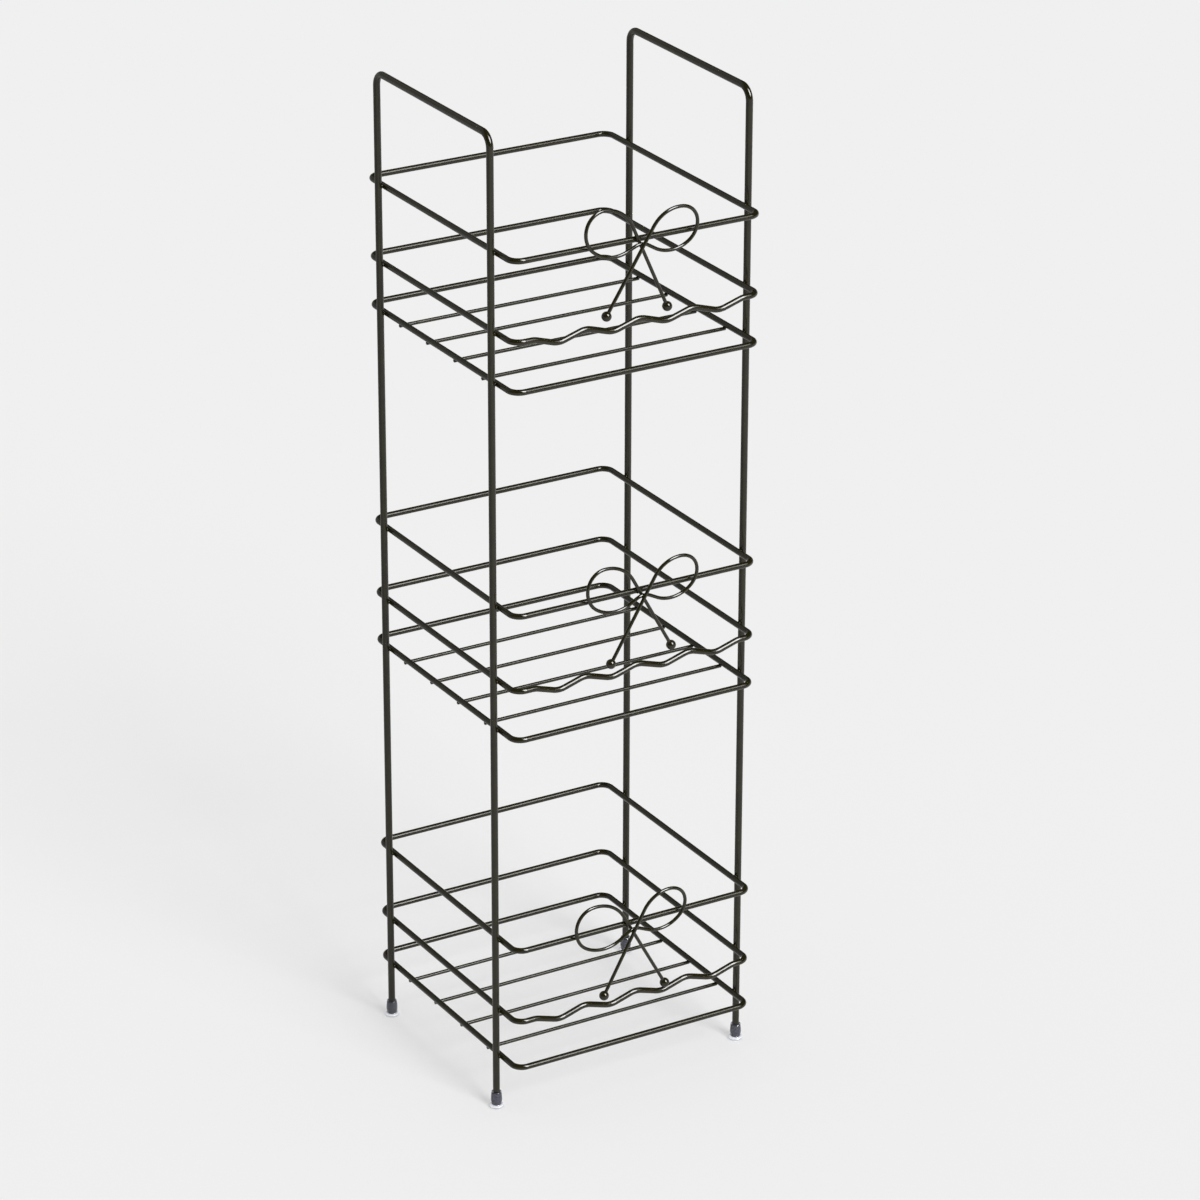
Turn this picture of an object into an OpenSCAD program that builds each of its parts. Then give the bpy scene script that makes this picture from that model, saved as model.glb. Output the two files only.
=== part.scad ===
// Three-tier bathroom caddy of welded wire.
// Two bent side frames stand on clear push-on foot caps and carry three baskets.
// Each basket is three rings and four floor wires, with a wire bow on its front rim.
// The front faces -Y. The origin is on the floor, at the centre of the bounding box.

/* [Side frames] */
// Distance between the left and right legs, centre to centre
leg_spacing_x = 201; // [150:1:300]
// Distance between the front and rear legs, centre to centre
leg_spacing_y = 158; // [120:1:260]
// Diameter of the side frame wire
leg_d = 5; // [4:0.1:7]
// Centreline radius of the bend between a leg and the handle bar
handle_bend_r = 9.5; // [6:0.5:25]
// Height of the handle bars above the top basket's rim
handle_rise = 82.5; // [40:0.5:150]

/* [Baskets] */
// Height of the lowest base ring above the floor
lowest_base_z = 40; // [25:0.5:80]
// Height from one basket to the next
tier_pitch = 256.5; // [160:0.5:320]
// Height of the wavy ring above the base ring
wavy_rise = 37; // [25:0.5:60]
// How far each wavy ring sits below that height: top, middle, bottom
wavy_sag = [1.2, 0, 0.3]; // [0:0.1:3]
// Height of the rim ring above the wavy ring
rim_rise = 56; // [52:0.5:80]
// How far the rings reach past the legs, in front and behind
ring_overhang = 23; // [10:0.5:50]
// Diameter of the ring wire
ring_d = 4.2; // [3:0.1:5]
// Centreline radius of the corners of the rings
corner_r = 8; // [5:0.5:9]
// How deep two welded wires sink into each other
weld_depth = 0.2; // [0.1:0.05:0.4]

/* [Wavy front rail] */
// Distance from one dip to the next
dip_pitch = 42; // [30:1:50]
// Slope of the rail between a crest and a dip, in degrees
dip_slope = 17; // [10:1:24]
// Centreline radius of the crests and dips
dip_bend_r = 15; // [8:1:18]
// How far the dips sit off the middle, to the right
dips_off = 1.2; // [-3:0.1:3]

/* [Basket floors] */
// Diameter of the floor wires
floor_wire_d = 2.7; // [2:0.1:3.5]
// Distance from the legs' line to the outermost floor wires
floor_wire_inset = 20.5; // [8:0.5:35]
// How far the floor wires run out past the middle of the base ring's wire
floor_wire_overrun = 0.5; // [0.5:0.5:5]

/* [Bows] */
// Diameter of the bow wire
bow_wire_d = 2.5; // [2:0.1:3]
// Gap between the strands that cross at the knot
strand_gap = 0.1; // [0.05:0.05:0.5]
// Radius of the arch that the wire makes over the knot
knot_arch_r = 11; // [8:0.5:16]
// Slope at which the loops leave the knot, in degrees
knot_slope = 25; // [15:1:35]
// Straight length between the knot and the underside of a loop
knot_reach = 6; // [4:0.5:10]
// Radius of the underside of a loop
loop_under_r = 24.5; // [18:0.5:30]
// Radius of the outer end of a loop
loop_end_r = 14.5; // [10:0.5:18]
// Radius of the top of a loop
loop_top_r = 23.5; // [18:0.5:30]
// Direction of the wire where a loop's underside turns into its end, in degrees
loop_end_start = 40; // [25:1:50]
// Diameter of the beads on the ends of the bow
bead_d = 7; // [5:0.5:9]

/* [Bows, each bent by hand: top, middle, bottom] */
// Height of each bow's knot below the rim's centre
knot_below_rim = [2, 2, 2.5]; // [0:0.5:5]
// Sideways place of each bow
bow_x = [-1.5, 2.5, -3]; // [-10:0.5:10]
// Size of each bow's left loop against its right one
left_loop_size = [1.04, 1.04, 1.09]; // [0.9:0.01:1.2]
// How far each bow's left loop leans down, in degrees
left_loop_lean = [-1.5, 4, 8]; // [-10:0.5:10]
// How far each bow's right loop leans down, in degrees
right_loop_lean = [6, 2, -1.5]; // [-10:0.5:10]
// Slope of each bow's left tail, in degrees
left_tail_slope = [57.5, 59, 61]; // [55:0.5:70]
// Slope of each bow's right tail, in degrees
right_tail_slope = [66, 61, 61]; // [55:0.5:70]
// Height of each bow's left bead above the crests of the wavy rail
left_bead_lift = [3, 3.5, 2.5]; // [-1:0.5:15]
// Height of each bow's right bead above the crests, less than none where it hangs over a dip
right_bead_lift = [-0.5, 4.5, -3.5]; // [-3.5:0.5:15]

/* [Foot caps] */
// Height of a foot cap
cap_h = 12.5; // [10:0.5:20]
// Outer diameter at the mouth of a foot cap
cap_mouth_d = 7.4; // [6.6:0.1:12]
// Outer diameter of a foot cap just above its lip
cap_waist_d = 8.2; // [7:0.1:13]
// Diameter of the lip that stands on the floor
cap_lip_d = 10.5; // [9:0.5:16]
// Height of the lip
cap_lip_h = 2.4; // [1.5:0.1:3]
// Height of the slope between a foot cap's lip and its waist
cap_slope_h = 0.6; // [0.3:0.1:2]
// Width of the bevel around the mouth of a foot cap
cap_bevel = 0.4; // [0.2:0.1:0.8]
// Thickness of clear plastic under the leg
cap_floor = 1.8; // [1.5:0.1:4]

/* [Hidden] */
TIERS = ["top", "middle", "bottom"];
SIDES = ["left", "right"];
ENDS = ["front", "rear"];
FLOOR_WIRES = 4;

wire_black = [0.11, 0.10, 0.09];
clear_plastic = [0.80, 0.83, 0.88, 0.45];
$fn = 48;

// Wire radii
leg_r = leg_d / 2;
ring_r = ring_d / 2;
floor_wire_r = floor_wire_d / 2;
bow_wire_r = bow_wire_d / 2;
bead_r = bead_d / 2;

// Plan of the legs and rings
leg_x = leg_spacing_x / 2;
leg_y = leg_spacing_y / 2;
ring_half_x = leg_x - leg_r - ring_r + weld_depth;
ring_half_y = leg_y + ring_overhang;
side_straight = 2 * (ring_half_y - corner_r);
end_straight = 2 * (ring_half_x - corner_r);

// Heights
basket_h = wavy_rise + rim_rise;
function base_z(t) = lowest_base_z + (len(TIERS) - 1 - t) * tier_pitch;
function rim_z(t) = base_z(t) + basket_h;
bar_z = rim_z(0) + handle_rise;

// Wavy rail: whole dips across the front, centred
dip_count = floor(end_straight / dip_pitch);
dip_half = dip_pitch / 2;
slope_run = dip_half - 2 * dip_bend_r * sin(dip_slope);
slope_len = slope_run / cos(dip_slope);
crest_drop = dip_bend_r * (1 - cos(dip_slope));
dip_depth = 2 * crest_drop + slope_len * sin(dip_slope);
rail_end = (end_straight - dip_count * dip_pitch) / 2;
left_rail_end = rail_end + max(-rail_end, min(rail_end, dips_off));
right_rail_end = 2 * rail_end - left_rail_end;

// Floor wires
floor_wire_half_x = ring_half_x + floor_wire_overrun;
floor_wire_drop = ring_r + floor_wire_r - weld_depth;
first_floor_wire_y = leg_y - floor_wire_inset;
floor_wire_pitch = 2 * first_floor_wire_y / (FLOOR_WIRES - 1);

// Bow: three strands cross at the knot, each one wire further from the rim
strand_step = bow_wire_d + strand_gap;
bow_back_y = -ring_half_y - ring_r - bow_wire_r + weld_depth;
bow_sides = 8;
knot_steps = 3;
under_steps = 9;
end_steps = 16;
top_steps = 9;

// How far a bead hangs below the knot
function bead_drop(t, lift) = rim_rise - ring_r - bead_r - knot_below_rim[t] - lift;

// The bow stands out in front, so the model is moved back by half of that
front_reach = -bow_back_y + 2 * strand_step + bead_r;
rear_reach = ring_half_y + ring_r;
centre_shift = (front_reach - rear_reach) / 2;

// Path of one bow, as states [x, z, heading] in the plane of the bow.
// It starts over the knot and ends at a bead. Turns are anticlockwise.
function turned(s, r, turn) =
    let (side = sign(turn), cx = s[0] - side * r * sin(s[2]), cz = s[1] + side * r * cos(s[2]))
    [cx + side * r * sin(s[2] + turn), cz - side * r * cos(s[2] + turn), s[2] + turn];
function went(s, length) = [s[0] + length * cos(s[2]), s[1] + length * sin(s[2]), s[2]];
function arc(s, r, turn, steps) = [for (i = [1:steps]) turned(s, r, turn * i / steps)];
function last(list) = list[len(list) - 1];

// Adds the layer in front of the rim to each state, on an even wave from one layer to another.
// Layers are counted from the strand over the knot: 1 is in front of it, -1 behind it.
function with_layer(states, from, to) =
    [for (i = [0:len(states) - 1])
        let (u = (i + 1) / len(states))
        concat(states[i], from + (to - from) * (1 - cos(180 * u)) / 2)];
// The half that makes the right loop, scaled by k and leaning down, and runs down to the left
function half_bow(k, lean, tail_slope, drop, layer) =
    let (
        arch = arc([0, 0, 0], knot_arch_r, -knot_slope - lean, knot_steps),
        leave = went(last(arch), knot_reach * k),
        under = arc(leave, loop_under_r * k, knot_slope + loop_end_start, under_steps),
        end = arc(last(under), loop_end_r * k, 180 - loop_end_start, end_steps),
        top = arc(last(end), loop_top_r * k, tail_slope + lean, top_steps),
        tail = went(last(top), (last(top)[1] + drop) / sin(tail_slope))
    )
    concat(
        with_layer(concat(arch, [leave], under), 0, 0),
        with_layer(end, 0, layer),
        with_layer(concat(top, [tail]), layer, layer)
    );
function mirrored(states) = [for (s = states) [-s[0], s[1], 180 - s[2], s[3]]];
function reversed(list) = [for (i = [len(list) - 1:-1:0]) list[i]];
function turned_back(states) = [for (s = states) [s[0], s[1], s[2] + 180, s[3]]];

// The left bead ends the right loop's half, in front, and the right bead the left loop's half
function left_bead_half(t) =
    half_bow(1, right_loop_lean[t], left_tail_slope[t], bead_drop(t, left_bead_lift[t]), 1);
function right_bead_half(t) = mirrored(half_bow(
    left_loop_size[t], left_loop_lean[t], right_tail_slope[t], bead_drop(t, right_bead_lift[t]), -1));

// Whole path from the left bead, over the knot, to the right bead
function bow_path(t) = concat(
    turned_back(reversed(left_bead_half(t))), [[0, 0, 180, 0]], right_bead_half(t));
function strand_y(layer) = bow_back_y - strand_step * (1 + layer);

// Bent wire pieces. Each starts at the origin and runs along +X.
module straight(length, r) {
    rotate([0, 90, 0]) cylinder(h = length, r = r);
}
// A bend in the plane XZ, up for a positive angle and down for a negative one
module bend(bend_r, angle, r) {
    up = sign(angle);
    translate([0, 0, up * bend_r])
        rotate([90, 0, 0])
            rotate([0, 0, up > 0 ? -90 : 90 + angle])
                rotate_extrude(angle = abs(angle)) translate([bend_r, 0]) circle(r = r);
}
// A rounded rectangle's quarter turn in the plane XY, about its own centre
module corner(bend_r, r) {
    rotate_extrude(angle = 90) translate([bend_r, 0]) circle(r = r);
}

module side_frame(x) {
    leg_top = bar_z - handle_bend_r;
    bar_half = leg_y - handle_bend_r;
    color(wire_black) translate([x, 0, 0]) {
        for (e = [-1, 1]) {
            translate([0, e * leg_y, cap_floor]) cylinder(h = leg_top - cap_floor, r = leg_r);
            translate([0, e * bar_half, leg_top])
                rotate([0, 0, e * 90])
                    rotate([90, 0, 0])
                        rotate_extrude(angle = 90) translate([handle_bend_r, 0]) circle(r = leg_r);
        }
        translate([0, -bar_half, bar_z]) rotate([-90, 0, 0]) cylinder(h = 2 * bar_half, r = leg_r);
    }
}

// Three sides and four corners of a ring, open at the front
module ring_without_front() {
    for (s = [-1, 1])
        translate([s * ring_half_x, -side_straight / 2, 0]) rotate([-90, 0, 0])
            cylinder(h = side_straight, r = ring_r);
    translate([-end_straight / 2, ring_half_y, 0]) straight(end_straight, ring_r);
    for (a = [0:3])
        translate([(a == 0 || a == 3 ? 1 : -1) * end_straight / 2, (a < 2 ? 1 : -1) * side_straight / 2, 0])
            rotate([0, 0, 90 * a]) corner(corner_r, ring_r);
}

module plain_ring(z) {
    color(wire_black) translate([0, 0, z]) {
        ring_without_front();
        translate([-end_straight / 2, -ring_half_y, 0]) straight(end_straight, ring_r);
    }
}

// Half a dip, from a crest down to the bottom of the dip
module half_dip() {
    arc_x = dip_bend_r * sin(dip_slope);
    bend(dip_bend_r, -dip_slope, ring_r);
    translate([arc_x, 0, -crest_drop]) rotate([0, dip_slope, 0]) straight(slope_len, ring_r);
    translate([dip_half, 0, -dip_depth]) mirror([1, 0, 0]) bend(dip_bend_r, dip_slope, ring_r);
}

module wavy_ring(z) {
    color(wire_black) translate([0, 0, z]) {
        ring_without_front();
        translate([-end_straight / 2, -ring_half_y, 0]) {
            if (left_rail_end > 0) straight(left_rail_end, ring_r);
            if (right_rail_end > 0) translate([end_straight - right_rail_end, 0, 0]) straight(right_rail_end, ring_r);
            for (i = [0:dip_count - 1])
                translate([left_rail_end + (i + 0.5) * dip_pitch, 0, 0])
                    for (m = [0, 1]) mirror([m, 0, 0]) translate([-dip_half, 0, 0]) half_dip();
        }
    }
}

module floor_wire(t, n) {
    color(wire_black)
        translate([-floor_wire_half_x, first_floor_wire_y - (FLOOR_WIRES - n) * floor_wire_pitch,
                   base_z(t) - floor_wire_drop])
            straight(2 * floor_wire_half_x, floor_wire_r);
}

// Stands a shape drawn in a bow's plane up on the front of its rim
module on_rim(t) {
    translate([bow_x[t], 0, rim_z(t) - knot_below_rim[t]]) children();
}

module bow(t) {
    path = bow_path(t);
    rings = len(path);
    points = [for (s = path) for (i = [0:bow_sides - 1])
        let (a = 360 * i / bow_sides, n = bow_wire_r * cos(a))
        [s[0] - n * sin(s[2]), strand_y(s[3]) + bow_wire_r * sin(a), s[1] + n * cos(s[2])]];
    skin = [for (j = [0:rings - 2]) for (i = [0:bow_sides - 1])
        let (a = j * bow_sides + i, b = j * bow_sides + (i + 1) % bow_sides)
        each [[a, b, a + bow_sides], [b, b + bow_sides, a + bow_sides]]];
    start_cap = [for (i = [bow_sides - 1:-1:0]) i];
    end_cap = [for (i = [0:bow_sides - 1]) (rings - 1) * bow_sides + i];
    color(wire_black) on_rim(t) polyhedron(points, concat([start_cap, end_cap], skin));
}

// A bead, pushed onto the end of the bow up to its centre
module bow_bead(t, side) {
    end = last(side < 0 ? left_bead_half(t) : right_bead_half(t));
    slope = side < 0 ? left_tail_slope[t] : right_tail_slope[t];
    color(wire_black) on_rim(t)
        translate([end[0], strand_y(end[3]), end[1]])
            rotate([0, side * (slope - 90), 0]) difference() {
                sphere(r = bead_r);
                cylinder(h = bead_r, r = bow_wire_r);
            }
}

module foot_cap(x, y) {
    lip_r = cap_lip_d / 2;
    edge_r = cap_lip_h / 2;
    color(clear_plastic) translate([x, y, 0]) difference() {
        rotate_extrude() {
            polygon([[0, 0], [lip_r - edge_r, 0], [lip_r - edge_r, cap_lip_h],
                [cap_waist_d / 2, cap_lip_h + cap_slope_h], [cap_mouth_d / 2, cap_h - cap_bevel],
                [cap_mouth_d / 2 - cap_bevel, cap_h], [0, cap_h]]);
            translate([lip_r - edge_r, edge_r]) circle(r = edge_r);
        }
        translate([0, 0, cap_floor]) cylinder(h = cap_h, r = leg_r);
    }
}

translate([0, centre_shift, 0]) {
    for (s = [0, 1]) {
        side_frame((2 * s - 1) * leg_x);
    }
    for (t = [0:len(TIERS) - 1]) {
        plain_ring(rim_z(t));
        wavy_ring(base_z(t) + wavy_rise - wavy_sag[t]);
        plain_ring(base_z(t));
        for (n = [1:FLOOR_WIRES]) {
            floor_wire(t, n);
        }
        bow(t);
        for (s = [0, 1]) {
            bow_bead(t, 2 * s - 1);
        }
    }
    for (e = [0, 1], s = [0, 1]) {
        foot_cap((2 * s - 1) * leg_x, (2 * e - 1) * leg_y);
    }
}
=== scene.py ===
import math
import bpy
from mathutils import Matrix, Vector


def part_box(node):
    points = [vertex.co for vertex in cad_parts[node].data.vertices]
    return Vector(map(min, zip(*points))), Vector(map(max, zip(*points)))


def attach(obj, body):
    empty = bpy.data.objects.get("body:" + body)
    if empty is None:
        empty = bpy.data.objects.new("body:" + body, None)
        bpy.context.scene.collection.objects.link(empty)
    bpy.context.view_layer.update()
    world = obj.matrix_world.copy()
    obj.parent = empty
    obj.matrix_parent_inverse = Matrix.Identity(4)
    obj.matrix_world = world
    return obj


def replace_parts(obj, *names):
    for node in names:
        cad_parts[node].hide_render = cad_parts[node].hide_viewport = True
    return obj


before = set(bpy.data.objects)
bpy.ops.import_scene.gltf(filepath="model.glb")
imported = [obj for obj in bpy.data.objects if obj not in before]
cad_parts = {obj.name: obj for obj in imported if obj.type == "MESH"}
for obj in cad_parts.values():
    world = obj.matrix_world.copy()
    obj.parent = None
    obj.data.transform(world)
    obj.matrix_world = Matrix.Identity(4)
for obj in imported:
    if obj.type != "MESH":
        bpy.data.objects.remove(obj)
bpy.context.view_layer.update()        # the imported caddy, in metres, bows to -Y
print("frame:", len(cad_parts), "nodes")

tiers = ("top", "middle", "bottom")
ringNames = ("rim_ring", "wavy_ring", "base_ring")
sides = {"left": -1, "right": 1}
ends = {"front": -1, "rear": 1}


def middleOf(node):
    low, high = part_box(node)
    return (low + high) / 2


# Materials

def newMaterial(name):
    made = bpy.data.materials.new(name)
    made.use_nodes = True
    made.node_tree.nodes.clear()
    return made, made.node_tree


def addNode(tree, kind, inputs=None, **settings):
    made = tree.nodes.new(kind)
    for key, value in settings.items():
        setattr(made, key, value)
    for key, value in (inputs or {}).items():
        if isinstance(value, bpy.types.NodeSocket):
            tree.links.new(value, made.inputs[key])
        else:
            made.inputs[key].default_value = value
    return made


def addRamp(tree, factor, stops):
    made = addNode(tree, "ShaderNodeValToRGB", {"Fac": factor})
    while len(made.color_ramp.elements) < len(stops):
        made.color_ramp.elements.new(0.5)
    for element, (place, colour) in zip(made.color_ramp.elements, stops):
        element.position = place
        element.color = colour if len(colour) == 4 else (*colour, 1)
    return made.outputs["Color"]


def grey(value):
    return (value, value, value, 1)


dipCoat = {
    "thin": (0.0165, 0.0146, 0.0042),     # where the coat has drained
    "thick": (0.0120, 0.0106, 0.0032),    # on the swells, where it has run together
    "roughLow": 0.12,
    "roughHigh": 0.16,
    "ior": 1.5,
    "orangePeel": 900,                    # bumps to the metre, about 1.1 mm apart
    "peelSpan": (0.3, 0.7),               # the part of the noise that is used
    "runs": 140,                          # slow swells where the coat has run
    "runSpan": (0.35, 0.65),
    "peelHeight": 0.0000025,
    "runHeight": 0.00002,
}


def makeDipCoat(name, look, smoother=1.0):
    made, tree = newMaterial(name)
    place = addNode(tree, "ShaderNodeTexCoord").outputs["Object"]
    runs = addNode(tree, "ShaderNodeTexNoise", {"Vector": place, "Scale": look["runs"], "Detail": 2.0})
    peel = addNode(tree, "ShaderNodeTexNoise", {"Vector": place, "Scale": look["orangePeel"], "Detail": 1.0})
    colour = addRamp(tree, runs.outputs["Fac"], list(zip(look["runSpan"], (look["thin"], look["thick"]))))
    rough = addNode(tree, "ShaderNodeMapRange", {
        "Value": peel.outputs["Fac"], "From Min": look["peelSpan"][0], "From Max": look["peelSpan"][1],
        "To Min": look["roughLow"] * smoother, "To Max": look["roughHigh"] * smoother})
    swell = addNode(tree, "ShaderNodeBump", {
        "Height": runs.outputs["Fac"], "Distance": look["runHeight"], "Strength": smoother})
    bump = addNode(tree, "ShaderNodeBump", {
        "Height": peel.outputs["Fac"], "Distance": look["peelHeight"], "Strength": smoother,
        "Normal": swell.outputs["Normal"]})
    shader = addNode(tree, "ShaderNodeBsdfPrincipled", {
        "Base Color": colour, "Roughness": rough.outputs["Result"], "Normal": bump.outputs["Normal"],
        "IOR": look["ior"]})
    addNode(tree, "ShaderNodeOutputMaterial", {"Surface": shader.outputs["BSDF"]})
    return made


clearPvc = {
    "tint": (0.93, 0.94, 0.99),
    "haze": (0.47, 0.50, 0.78),
    "hazeLow": 0.035,
    "hazeHigh": 0.11,
    "mottles": 1500,         # cloudy specks to the metre
    "mottleSpan": (0.35, 0.68),
    # The lip's white band: milky plastic, and a painted highlight for the light that the lip refracts
    "lipMilkAndHighlightColour": (0.97, 0.98, 1.0),
    "lipMilkAndHighlightShare": 0.5,         # how white the lip's shoulder is: milky plastic, and painted highlight for the light the lip refracts
    "lipPaintedGlow": 0.09,         # painted glow in the lip's white band, standing in for the light that the lip refracts; no lamp
    "lipTop": 0.0028,        # metres above the floor
    "milkAndHighlightBand": [(0.42, 0), (0.6, 0.9), (0.75, 1), (0.95, 0)],       # the lip's white band by height, as a share of lipTop: milky plastic and painted highlight
    "roughLow": 0.04,
    "roughHigh": 0.12,
    "ior": 1.53,
    "ripples": 420,          # moulding ripples to the metre
    "rippleHeight": 0.00010,
}


def makeClearPvc(name, look):
    made, tree = newMaterial(name)
    place = addNode(tree, "ShaderNodeTexCoord").outputs["Object"]
    ripple = addNode(tree, "ShaderNodeTexNoise", {"Vector": place, "Scale": look["ripples"], "Detail": 3.0})
    bump = addNode(tree, "ShaderNodeBump", {
        "Height": ripple.outputs["Fac"], "Distance": look["rippleHeight"]})
    rough = addNode(tree, "ShaderNodeMapRange", {
        "Value": ripple.outputs["Fac"], "To Min": look["roughLow"], "To Max": look["roughHigh"]})
    height = addNode(tree, "ShaderNodeSeparateXYZ", {"Vector": place}).outputs["Z"]
    upLip = addNode(tree, "ShaderNodeMath", {0: height, 1: look["lipTop"]}, operation="DIVIDE")
    # The lip's white band, by height: milky plastic, and a painted highlight where the lip refracts light
    milkAndHighlight = addRamp(tree, upLip.outputs[0], [(at, grey(share)) for at, share in look["milkAndHighlightBand"]])
    mottle = addNode(tree, "ShaderNodeTexNoise", {"Vector": place, "Scale": look["mottles"], "Detail": 2.0})
    cloudy = addNode(tree, "ShaderNodeMapRange", {
        "Value": mottle.outputs["Fac"],
        "From Min": look["mottleSpan"][0], "From Max": look["mottleSpan"][1],
        "To Min": look["hazeLow"], "To Max": look["hazeHigh"]})
    share = addNode(tree, "ShaderNodeMix", {
        "Factor": milkAndHighlight, "A": cloudy.outputs["Result"], "B": look["lipMilkAndHighlightShare"]})
    hazeMilkAndHighlightColour = addRamp(tree, milkAndHighlight, [(0, look["haze"]), (1, look["lipMilkAndHighlightColour"])])
    clear = addNode(tree, "ShaderNodeBsdfPrincipled", {
        "Base Color": (*look["tint"], 1), "Transmission Weight": 1.0, "IOR": look["ior"],
        "Roughness": rough.outputs["Result"], "Normal": bump.outputs["Normal"]})
    cloud = addNode(tree, "ShaderNodeBsdfDiffuse", {"Color": hazeMilkAndHighlightColour, "Normal": bump.outputs["Normal"]})
    mixed = addNode(tree, "ShaderNodeMixShader", {"Fac": share.outputs["Result"]})
    tree.links.new(clear.outputs["BSDF"], mixed.inputs[1])
    tree.links.new(cloud.outputs["BSDF"], mixed.inputs[2])
    # Painted glow: emission in the lip's white band, a painted highlight and not a lamp
    level = addNode(tree, "ShaderNodeMath", {0: milkAndHighlight, 1: look["lipPaintedGlow"]}, operation="MULTIPLY")
    glow = addNode(tree, "ShaderNodeEmission", {"Color": hazeMilkAndHighlightColour, "Strength": level.outputs[0]})
    lit = addNode(tree, "ShaderNodeAddShader")
    tree.links.new(mixed.outputs["Shader"], lit.inputs[0])
    tree.links.new(glow.outputs["Emission"], lit.inputs[1])
    addNode(tree, "ShaderNodeOutputMaterial", {"Surface": lit.outputs["Shader"]})
    return made


frameCoat = makeDipCoat("frame_coat", dipCoat)
basketCoat = makeDipCoat("basket_coat", {**dipCoat, "runs": 190})
bowCoat = makeDipCoat("bow_coat", {**dipCoat, "runs": 260, "runHeight": 0.000012}, smoother=0.65)
beadCoat = makeDipCoat("bead_coat", {**dipCoat, "runs": 320, "runHeight": 0.000012}, smoother=0.6)
capPlastic = makeClearPvc("clear_pvc", clearPvc)
print("materials: 5")


# Pieces made of mesh

def meshPiece(name, mesh, material, place=(0, 0, 0)):
    if not mesh.materials:
        mesh.materials.append(material)
    made = bpy.data.objects.new(name, mesh)
    made.location = place
    bpy.context.scene.collection.objects.link(made)
    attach(made, "root")
    return made


def smoothMesh(name, points, faces):
    made = bpy.data.meshes.new(name)
    made.from_pydata([tuple(p) for p in points], [], faces)
    made.validate()
    made.polygons.foreach_set("use_smooth", [True] * len(made.polygons))
    made.update()
    return made


# The faces of a tube whose points are listed ring by ring
def gridFaces(rows, columns):
    return [(r * columns + c, r * columns + (c + 1) % columns,
             (r + 1) * columns + (c + 1) % columns, (r + 1) * columns + c)
            for r in range(rows - 1) for c in range(columns)]


# A wire swept along points. Its cut ends are rounded by edge, up to a full dome.
def sweptWire(name, path, radius, edge, aroundCount=24, edgeSteps=5):
    path = [Vector(p) for p in path]
    steps = [(path[min(i + 1, len(path) - 1)] - path[max(i - 1, 0)]).normalized() for i in range(len(path))]
    side = steps[0].orthogonal().normalized()
    rings = []
    for k in range(edgeSteps, 0, -1):
        angle = math.pi / 2 * k / edgeSteps
        rings.append((path[0] + steps[0] * edge * (1 - math.sin(angle)),
                      radius - edge * (1 - math.cos(angle)), 0))
    rings += [(p, radius, i) for i, p in enumerate(path)
              if (p - path[0]).length >= edge and (p - path[-1]).length >= edge]
    for k in range(1, edgeSteps + 1):
        angle = math.pi / 2 * k / edgeSteps
        rings.append((path[-1] - steps[-1] * edge * (1 - math.sin(angle)),
                      radius - edge * (1 - math.cos(angle)), len(path) - 1))
    points = []
    for centre, ringRadius, i in rings:
        side = (side - steps[i] * side.dot(steps[i])).normalized()
        across = steps[i].cross(side)
        for c in range(aroundCount):
            angle = 2 * math.pi * c / aroundCount
            points.append(centre + (side * math.cos(angle) + across * math.sin(angle)) * ringRadius)
    faces = gridFaces(len(rings), aroundCount)
    faces.append(tuple(range(aroundCount - 1, -1, -1)))
    faces.append(tuple((len(rings) - 1) * aroundCount + c for c in range(aroundCount)))
    return smoothMesh(name, points, faces)


# A profile of (radius, height) turned about Z
def lathe(name, profile, aroundCount=64):
    points = [(r * math.cos(2 * math.pi * c / aroundCount), r * math.sin(2 * math.pi * c / aroundCount), z)
              for r, z in profile for c in range(aroundCount)]
    faces = gridFaces(len(profile), aroundCount)
    faces.append(tuple(range(aroundCount - 1, -1, -1)))
    faces.append(tuple((len(profile) - 1) * aroundCount + c for c in range(aroundCount)))
    return smoothMesh(name, points, faces)


# Side frames and rings keep their solids

for side in sides:
    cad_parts[f"{side}_side_frame"].data.materials[0] = frameCoat
for tier in tiers:
    for ring in ringNames:
        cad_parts[f"{tier}_{ring}"].data.materials[0] = basketCoat
    for side in sides:
        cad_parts[f"{tier}_bow_bead_{side}"].data.materials[0] = beadCoat
print("side frames, rings and beads: coated")


# Floor wires, with cut ends that the coat has rounded

floorWire = {"count": 4, "ringStep": 0.006, "endEdge": 0.0006}


def makeFloorWires():
    low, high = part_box("top_floor_wire_1")
    radius = (high.z - low.z) / 2
    half = (high.x - low.x) / 2
    count = round(2 * half / floorWire["ringStep"])
    mesh = sweptWire("floor_wire", [(-half + 2 * half * i / count, 0, 0) for i in range(count + 1)],
                     radius, floorWire["endEdge"])
    for tier in tiers:
        for n in range(1, floorWire["count"] + 1):
            node = f"{tier}_floor_wire_{n}"
            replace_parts(meshPiece(node + "_coated", mesh, basketCoat, middleOf(node)), node)


makeFloorWires()
print("floor wires:", len(tiers) * floorWire["count"])


# Bows

bow = {
    "wireRadius": 0.00125,
    "strandStep": 0.0026,        # from one strand to the next, out from the rim
    "archRadius": 0.011,
    "knotSlope": 25,             # degrees
    "reach": 0.006,
    "underRadius": 0.0245,
    "endRadius": 0.0145,
    "topRadius": 0.0235,
    "endStart": 40,              # degrees
    "weldDepth": 0.0002,
    "sameLayer": 0.000001,       # points this near each other, front to back, lie in one layer
    "ringStep": 0.001,
    "endEdge": 0.0005,
}
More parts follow.
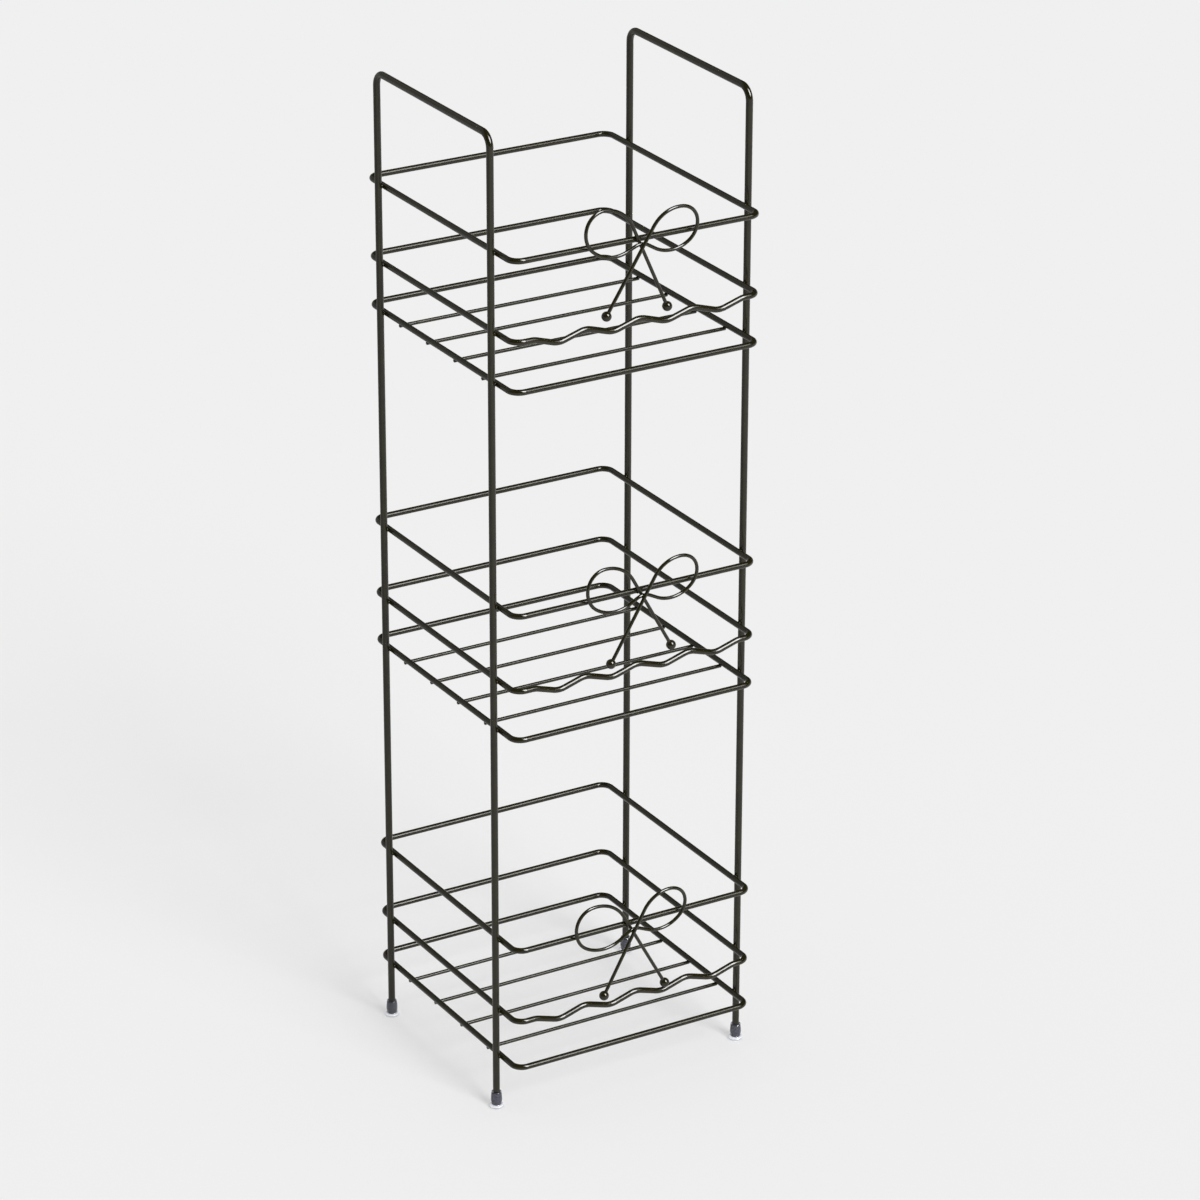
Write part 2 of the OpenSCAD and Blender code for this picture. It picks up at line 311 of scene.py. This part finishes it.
# Each bow is bent by hand: its knot's place, the size and lean of its loops, the slope of its tails, and
# how far its beads hang below the knot
bowOf = {
    "top": {
        "x": -0.0015, "below": 0.002, "leftSize": 1.04, "leftLean": -1.5, "rightLean": 6,
        "leftTail": 57.5, "rightTail": 66, "leftDrop": 0.0454, "rightDrop": 0.0489},
    "middle": {
        "x": 0.0025, "below": 0.002, "leftSize": 1.04, "leftLean": 4, "rightLean": 2,
        "leftTail": 59, "rightTail": 61, "leftDrop": 0.0449, "rightDrop": 0.0439},
    "bottom": {
        "x": -0.003, "below": 0.0025, "leftSize": 1.09, "leftLean": 8, "rightLean": -1.5,
        "leftTail": 61, "rightTail": 61, "leftDrop": 0.0454, "rightDrop": 0.0514},
}


# A pen in the bow's plane that draws straight runs and arcs, as points (x, z, layer)
class BowPen:
    def __init__(self):
        self.x, self.z, self.heading = 0.0, 0.0, 0.0
        self.points = []

    def go(self, length, layer):
        count = max(1, round(length / bow["ringStep"]))
        for _ in range(count):
            self.x += length / count * math.cos(self.heading)
            self.z += length / count * math.sin(self.heading)
            self.points.append((self.x, self.z, layer))

    def turn(self, radius, degrees, fromLayer, toLayer):
        angle = math.radians(degrees)
        count = max(2, round(abs(angle) * radius / bow["ringStep"]))
        hand = math.copysign(1, angle)
        reach = hand * radius
        centre = (self.x - reach * math.sin(self.heading), self.z + reach * math.cos(self.heading))
        for i in range(1, count + 1):
            h = self.heading + angle * i / count
            ease = (1 - math.cos(math.pi * i / count)) / 2
            self.points.append((centre[0] + reach * math.sin(h), centre[1] - reach * math.cos(h),
                                fromLayer + (toLayer - fromLayer) * ease))
        self.heading += angle
        self.x, self.z = self.points[-1][:2]


# The half that makes the right loop and runs down to the left
def halfBow(size, lean, tail, drop, layer):
    pen = BowPen()
    pen.turn(bow["archRadius"], -bow["knotSlope"] - lean, 0, 0)
    pen.go(bow["reach"] * size, 0)
    pen.turn(bow["underRadius"] * size, bow["knotSlope"] + bow["endStart"], 0, 0)
    pen.turn(bow["endRadius"] * size, 180 - bow["endStart"], 0, layer)
    pen.turn(bow["topRadius"] * size, tail + lean, layer, layer)
    pen.go((pen.z + drop) / math.sin(math.radians(tail)), layer)
    return pen.points


def bowPath(tier):
    own = bowOf[tier]
    leftTail = halfBow(1, own["rightLean"], own["leftTail"], own["leftDrop"], 1)
    mirrored = halfBow(own["leftSize"], own["leftLean"], own["rightTail"], own["rightDrop"], -1)
    flat = leftTail[::-1] + [(0, 0, 0)] + [(-x, z, layer) for x, z, layer in mirrored]
    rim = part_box(f"{tier}_rim_ring")
    rimZ = (rim[0].z + rim[1].z) / 2
    backY = rim[0].y - bow["wireRadius"] + bow["weldDepth"]
    return [Vector((own["x"] + x, backY - bow["strandStep"] * (1 + layer), rimZ - own["below"] + z))
            for x, z, layer in flat]


bowLines = {}
for tier in tiers:
    bowLines[tier] = bowPath(tier)
    bowMesh = sweptWire(f"{tier}_bow_wire", bowLines[tier], bow["wireRadius"], bow["endEdge"])
    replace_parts(meshPiece(f"{tier}_bow_wire", bowMesh, bowCoat), f"{tier}_bow")
print("bows: 3")


# Coat gathered in the corners of each weld

weld = {
    "aroundCount": 40,
    "arcSteps": 8,
    "halvings": 30,          # of the search for the collar's edge
    "widest": 1.4,           # as a share of the thicker wire's radius
    "ringGap": 0.0009,       # between the wires' surfaces at the collar's edge
    "floorGap": 0.0006,
    "bowGap": 0.0006,
    "tuck": 0.00006,         # how far the collar's edge goes into the wires
}


# A waisted collar round the touching point of two wires. The first lies below the plane z = 0, the
# second above it. angle is from the first wire's axis, X, to the second's.
# No point of it lies further out along X than furthest.
def weldCollar(name, lowRadius, highRadius, angle, depth, gap, furthest=1.0):
    points = []
    for c in range(weld["aroundCount"]):
        phi = 2 * math.pi * c / weld["aroundCount"]

        def heights(reach):
            lowAcross = reach * abs(math.sin(phi))
            highAcross = reach * abs(math.sin(phi - angle))
            return (math.sqrt(max(lowRadius ** 2 - lowAcross ** 2, 0)) - lowRadius + depth / 2,
                    highRadius - depth / 2 - math.sqrt(max(highRadius ** 2 - highAcross ** 2, 0)))

        near, far = 0.0, weld["widest"] * max(lowRadius, highRadius)
        for _ in range(weld["halvings"]):       # where the wires' surfaces are the gap apart
            reach = (near + far) / 2
            low, high = heights(reach)
            near, far = (reach, far) if high - low < gap else (near, reach)
        rows = [(reach + weld["tuck"] * 2, low - weld["tuck"] * 2)]
        for k in range(weld["arcSteps"] + 1):
            t = math.pi * k / weld["arcSteps"]
            rows.append((reach - (high - low) / 2 * math.sin(t), low + (high - low) * (1 - math.cos(t)) / 2))
        rows.append((reach + weld["tuck"] * 2, high + weld["tuck"] * 2))
        points.append([(min(r * math.cos(phi), furthest), r * math.sin(phi), z) for r, z in rows])
    rowCount = len(points[0])
    ordered = [points[c][r] for r in range(rowCount) for c in range(weld["aroundCount"])]
    return smoothMesh(name, ordered, gridFaces(rowCount, weld["aroundCount"]))


# Stands a collar at a touching point, its Z along up and its X along the first wire
def placeCollar(name, mesh, place, along, up, material):
    made = meshPiece(name, mesh, material)
    along, up = Vector(along).normalized(), Vector(up).normalized()
    turned = Matrix((along, up.cross(along), up)).transposed().to_4x4()
    made.matrix_world = Matrix.Translation(place) @ turned


def makeRingWelds():
    legLow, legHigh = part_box("right_side_frame")
    legRadius = (legHigh.x - legLow.x) / 2
    ringLow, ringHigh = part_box("top_rim_ring")
    ringRadius = (ringHigh.z - ringLow.z) / 2
    depth = ringHigh.x - legLow.x
    mesh = weldCollar("ring_weld", legRadius, ringRadius, math.pi / 2, depth, weld["ringGap"])
    for tier in tiers:
        for ring in ringNames:
            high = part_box(f"{tier}_{ring}")[1]
            level = high.z - ringRadius
            for side, s in sides.items():
                for end, e in ends.items():
                    legY = legHigh.y - legRadius if e > 0 else legLow.y + legRadius
                    place = (s * (high.x - depth / 2), legY, level)
                    name = f"weld_{tier}_{ring}_{side}_{end}"
                    placeCollar(name, mesh, place, (0, 0, 1), (-s, 0, 0), basketCoat)


def makeFloorWelds():
    ringLow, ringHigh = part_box("top_base_ring")
    wireLow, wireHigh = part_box("top_floor_wire_1")
    ringRadius, wireRadius = (ringHigh.z - ringLow.z) / 2, (wireHigh.z - wireLow.z) / 2
    depth = wireHigh.z - ringLow.z
    furthest = wireHigh.x - floorWire["endEdge"] - (ringHigh.x - ringRadius)
    mesh = weldCollar("floor_weld", wireRadius, ringRadius, math.pi / 2, depth, weld["floorGap"], furthest)
    for tier in tiers:
        for n in range(1, floorWire["count"] + 1):
            low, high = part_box(f"{tier}_floor_wire_{n}")
            for side, s in sides.items():
                place = (s * (ringHigh.x - ringRadius), (low.y + high.y) / 2, high.z - depth / 2)
                name = f"weld_{tier}_floor_wire_{n}_{side}"
                placeCollar(name, mesh, place, (s, 0, 0), (0, 0, 1), basketCoat)


# The strand against the rim is welded to it where it crosses the rim's middle
def makeBowWelds():
    for tier in tiers:
        rimLow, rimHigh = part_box(f"{tier}_rim_ring")
        rimZ = (rimLow.z + rimHigh.z) / 2
        line = bowLines[tier][len(bowLines[tier]) // 2:]
        backY = max(p.y for p in line)
        touching = [p for p in line if backY - p.y < bow["sameLayer"]]
        at = min(range(1, len(touching)), key=lambda i: abs(touching[i].z - rimZ))
        along = (touching[at] - touching[at - 1]).normalized()
        rimRadius = (rimHigh.z - rimLow.z) / 2
        angle = math.atan2(along.z, -along.x)
        mesh = weldCollar(f"{tier}_bow_weld", rimRadius, bow["wireRadius"], angle, bow["weldDepth"],
                          weld["bowGap"])
        place = (touching[at].x, rimLow.y + bow["weldDepth"] / 2, rimZ)
        placeCollar(f"weld_{tier}_bow", mesh, place, (-1, 0, 0), (0, -1, 0), bowCoat)


makeRingWelds()
makeFloorWelds()
makeBowWelds()


# Clear foot caps

footCap = {
    "floorThickness": 0.0018,
    "lipRadius": 0.00525,
    "lipHeight": 0.0024,
    "lipArc": (-90, 75, 14),      # degrees from and to, and steps
    "neckRadius": 0.0036,
    "neckHeight": 0.0030,
    "neckFillet": 0.0007,
    "neckArc": (-120, -180, 6),
    "bellyRadius": 0.0041,
    "bellyHeight": 0.0062,
    "mouthRadius": 0.0037,
    "height": 0.0125,
    "bevel": 0.0004,
    "bevelArc": (0, 90, 5),
    "swellSteps": (0.15, 0.3, 0.5, 0.7, 0.85, 1.0),
    "flare": 0.0004,              # the mouth opens by this much
    "flareTop": 0.0001,           # from here to flareDepth, down from the mouth
    "flareDepth": 0.0006,
    "boreSteps": (1, 0.8, 0.6, 0.4, 0.2, 0.05),
    "boreCorner": 0.0002,
    "centreHole": 0.0002,         # the turned profile stops short of its axis
    "boreGrip": 0.00005,          # the plastic clings to the coat, so its bore lies this far inside it
}


def arcPoints(centre, radius, fromDegrees, toDegrees, steps):
    angles = [math.radians(fromDegrees + (toDegrees - fromDegrees) * i / steps) for i in range(steps + 1)]
    return [(centre[0] + radius * math.cos(a), centre[1] + radius * math.sin(a)) for a in angles]


def makeFootCaps():
    cap = footCap
    legLow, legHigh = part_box("right_side_frame")
    bore = (legHigh.x - legLow.x) / 2 - cap["boreGrip"]
    edge, bevel, fillet = cap["lipHeight"] / 2, cap["bevel"], cap["neckFillet"]
    profile = [(cap["centreHole"], 0.0)]
    profile += arcPoints((cap["lipRadius"] - edge, edge), edge, *cap["lipArc"])
    profile += arcPoints((cap["neckRadius"] + fillet, cap["neckHeight"]), fillet, *cap["neckArc"])
    swells = [(cap["neckHeight"], cap["neckRadius"]), (cap["bellyHeight"], cap["bellyRadius"]),
              (cap["height"] - bevel, cap["mouthRadius"])]
    for (low, first), (high, last) in zip(swells, swells[1:]):
        for t in cap["swellSteps"]:
            eased = (1 - math.cos(math.pi * t)) / 2
            profile.append((first + (last - first) * eased, low + (high - low) * t))
    profile += arcPoints((cap["mouthRadius"] - bevel, cap["height"] - bevel), bevel, *cap["bevelArc"])
    profile.append((bore + cap["flare"], cap["height"] - cap["flareTop"]))
    profile.append((bore, cap["height"] - cap["flareDepth"]))
    bottom = cap["floorThickness"]
    boreLength = cap["height"] - 2 * cap["flareDepth"] - bottom
    profile += [(bore, bottom + boreLength * t) for t in cap["boreSteps"]]
    profile.append((bore - cap["boreCorner"], bottom + cap["boreGrip"]))
    profile.append((cap["centreHole"], bottom + cap["boreGrip"]))
    mesh = lathe("foot_cap", profile)
    for end in ends:
        for side in sides:
            node = f"{end}_{side}_foot_cap"
            middle = middleOf(node)
            place = (middle.x, middle.y, 0)
            made = meshPiece(f"{end}_{side}_clear_cap", mesh, capPlastic, place)
            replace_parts(made, node)


makeFootCaps()
print("foot caps: 4")


# Stage

studio = {
    "background": 0.871,          # the photograph's plain grey, linear
    "floorColour": 0.86,
    "floorHalf": 40,              # metres
    "floorGlow": 0.5,             # how much of the floor's brightness no shadow reaches
    "fill": [(0, 0.09), (0.5, 0.30), (0.75, 0.53), (1, 0.885)],     # for matt surfaces, by height on the sky
    "lampTowards": (0.10, -0.80, 0.59),
    "lampStrength": 2.7,
    "lampWidth": 25,              # degrees
    "skyLow": 0.62,               # what the coat mirrors just above the horizon
    "skyHigh": 0.02,
    "skyTurn": (0.01, 0.06),      # from one to the other, by height on the sky
    "patchEdge": (1.3, 0.7),      # where a patch starts and where it is full, in its own sizes
}
# What the coat mirrors of the floor, along a line on it
gleam = {"along": (0.7, -0.7, 0), "from": -0.8, "to": 0.6, "dim": 0.45, "bright": 0.80}
# Bright patches that the coat mirrors: the lamp's heart, its wing and a pale wall. Sizes in degrees, from
# the middle to the edge.
patches = [
    {"towards": (0.24, -0.68, 0.69), "wide": 10, "tall": 23, "radiance": 22},
    {"towards": (0.46, -0.60, 0.66), "wide": 13, "tall": 19, "radiance": 3.3},
    {"towards": (-0.45, 0.80, 0.40), "wide": 40, "tall": 36, "radiance": 0.30},
]


def makeFloor():
    half = studio["floorHalf"]
    corners = [(-half, -half, 0), (half, -half, 0), (half, half, 0), (-half, half, 0)]
    mesh = bpy.data.meshes.new("floor")
    mesh.from_pydata(corners, [], [(0, 1, 2, 3)])
    floor = bpy.data.objects.new("floor", mesh)
    bpy.context.scene.collection.objects.link(floor)
    made, tree = newMaterial("pale_floor")
    path = addNode(tree, "ShaderNodeLightPath")
    place = addNode(tree, "ShaderNodeNewGeometry").outputs["Position"]
    across = addNode(tree, "ShaderNodeVectorMath", {0: place, 1: gleam["along"]}, operation="DOT_PRODUCT")
    shade = addNode(tree, "ShaderNodeMapRange", {
        "Value": across.outputs["Value"], "From Min": gleam["from"], "From Max": gleam["to"],
        "To Min": gleam["dim"], "To Max": gleam["bright"]})
    matt = addNode(tree, "ShaderNodeBsdfDiffuse", {"Color": grey(studio["floorColour"])})
    glow = addNode(tree, "ShaderNodeEmission", {"Color": grey(studio["background"])})
    mirrored = addNode(tree, "ShaderNodeEmission", {"Color": shade.outputs["Result"]})
    looked = addNode(tree, "ShaderNodeMath", {
        0: path.outputs["Is Camera Ray"], 1: path.outputs["Is Transmission Ray"]}, operation="MAXIMUM")
    share = addNode(tree, "ShaderNodeMath", {
        0: looked.outputs[0], 1: studio["floorGlow"]}, operation="MULTIPLY")
    seen = addNode(tree, "ShaderNodeMixShader", {"Fac": share.outputs[0]})
    tree.links.new(matt.outputs["BSDF"], seen.inputs[1])
    tree.links.new(glow.outputs["Emission"], seen.inputs[2])
    mixed = addNode(tree, "ShaderNodeMixShader", {"Fac": path.outputs["Is Glossy Ray"]})
    tree.links.new(seen.outputs["Shader"], mixed.inputs[1])
    tree.links.new(mirrored.outputs["Emission"], mixed.inputs[2])
    addNode(tree, "ShaderNodeOutputMaterial", {"Surface": mixed.outputs["Shader"]})
    mesh.materials.append(made)


# A soft-edged ellipse of light on the sky
def addPatch(tree, direction, patch):
    towards = Vector(patch["towards"]).normalized()
    sideways = towards.cross((0, 0, 1)).normalized()
    upwards = sideways.cross(towards)
    offs = []
    for axis, size in ((sideways, patch["wide"]), (upwards, patch["tall"])):
        scaled = tuple(axis / math.sin(math.radians(size)))
        offs.append(addNode(tree, "ShaderNodeVectorMath", {0: direction, 1: scaled},
                            operation="DOT_PRODUCT").outputs["Value"])
    both = addNode(tree, "ShaderNodeCombineXYZ", {"X": offs[0], "Y": offs[1]}).outputs["Vector"]
    off = addNode(tree, "ShaderNodeVectorMath", {0: both}, operation="LENGTH").outputs["Value"]
    start, full = studio["patchEdge"]
    share = addNode(tree, "ShaderNodeMapRange", {
        "Value": off, "From Min": start, "From Max": full}, interpolation_type="SMOOTHSTEP")
    facing = addNode(tree, "ShaderNodeVectorMath", {
        0: direction, 1: tuple(towards)}, operation="DOT_PRODUCT")
    front = addNode(tree, "ShaderNodeMath", {0: facing.outputs["Value"], 1: 0.0}, operation="GREATER_THAN")
    level = addNode(tree, "ShaderNodeMath", {
        0: share.outputs["Result"], 1: front.outputs[0]}, operation="MULTIPLY")
    lit = addNode(tree, "ShaderNodeBackground", {"Color": level.outputs[0], "Strength": patch["radiance"]})
    return lit.outputs[0]


def makeWorld():
    world = bpy.data.worlds.new("studio")
    bpy.context.scene.world = world
    world.use_nodes = True
    world.cycles.sampling_method = "NONE"
    tree = world.node_tree
    tree.nodes.clear()
    path = addNode(tree, "ShaderNodeLightPath")
    direction = addNode(tree, "ShaderNodeTexCoord").outputs["Generated"]
    height = addNode(tree, "ShaderNodeSeparateXYZ", {"Vector": direction}).outputs["Z"]
    low, high = grey(studio["skyLow"]), grey(studio["skyHigh"])
    lowEnd, highStart = studio["skyTurn"]
    sky = addRamp(tree, height, [(0, low), (lowEnd, low), (highStart, high), (1, high)])
    brightest = studio["fill"][-1][1]
    overhead = addRamp(tree, height, [(place, grey(level / brightest)) for place, level in studio["fill"]])
    fill = addNode(tree, "ShaderNodeBackground", {"Color": overhead, "Strength": brightest})
    gloss = addNode(tree, "ShaderNodeBackground", {"Color": sky})
    mirrored = gloss.outputs[0]
    for patch in patches:
        added = addNode(tree, "ShaderNodeAddShader")
        tree.links.new(mirrored, added.inputs[0])
        tree.links.new(addPatch(tree, direction, patch), added.inputs[1])
        mirrored = added.outputs[0]
    plain = addNode(tree, "ShaderNodeBackground", {"Color": grey(studio["background"])})
    seenThrough = addNode(tree, "ShaderNodeMath", {
        0: path.outputs["Is Camera Ray"], 1: path.outputs["Is Transmission Ray"]}, operation="MAXIMUM")
    first = addNode(tree, "ShaderNodeMixShader", {"Fac": path.outputs["Is Glossy Ray"]})
    tree.links.new(fill.outputs[0], first.inputs[1])
    tree.links.new(mirrored, first.inputs[2])
    second = addNode(tree, "ShaderNodeMixShader", {"Fac": seenThrough.outputs[0]})
    tree.links.new(first.outputs[0], second.inputs[1])
    tree.links.new(plain.outputs[0], second.inputs[2])
    addNode(tree, "ShaderNodeOutputWorld", {"Surface": second.outputs[0]})


def makeLamp():
    lamp = bpy.data.lights.new("lamp", "SUN")
    lamp.energy = studio["lampStrength"]
    lamp.angle = math.radians(studio["lampWidth"])
    made = bpy.data.objects.new("lamp", lamp)
    made.rotation_euler = Vector(studio["lampTowards"]).to_track_quat("Z", "Y").to_euler()
    made.visible_glossy = False       # the world shows the coat a lamp of its own
    bpy.context.scene.collection.objects.link(made)


makeFloor()
makeWorld()
makeLamp()
bpy.context.scene.view_settings.view_transform = "Standard"
print("stage: floor, world and lamp")


# Camera

# A plain camera, placed where the wires come nearest to the photograph's. The photograph has its upright
# lines squared up, which this one doesn't copy.
view = {
    "place": (-1.59646, -2.76128, 1.74607),
    "yaw": 30.467,          # degrees, clockwise from straight at the front
    "pitch": 23.711,        # degrees, downwards
    "roll": -0.143,
    "focalPixels": 4916.8,
    "pictureSize": 1200,
    "sensorWidth": 36.0,
    "clip": (0.01, 200),
}


def makeCamera():
    turn = Matrix.Rotation(-math.radians(view["yaw"]), 3, "Z")
    tip = Matrix.Rotation(-math.radians(view["pitch"]), 3, "X")
    lean = Matrix.Rotation(math.radians(view["roll"]), 3, "Y")
    axes = turn @ tip @ lean
    right, ahead, up = axes.col[0].copy(), axes.col[1].copy(), axes.col[2].copy()
    facing = Matrix((right, up, -ahead)).transposed().to_4x4()
    lens = bpy.data.cameras.new("camera")
    lens.sensor_width = view["sensorWidth"]
    lens.lens = view["focalPixels"] / view["pictureSize"] * view["sensorWidth"]
    lens.clip_start, lens.clip_end = view["clip"]
    camera = bpy.data.objects.new("camera", lens)
    camera.matrix_world = Matrix.Translation(view["place"]) @ facing
    bpy.context.scene.collection.objects.link(camera)
    bpy.context.scene.camera = camera


makeCamera()
print("camera: set")
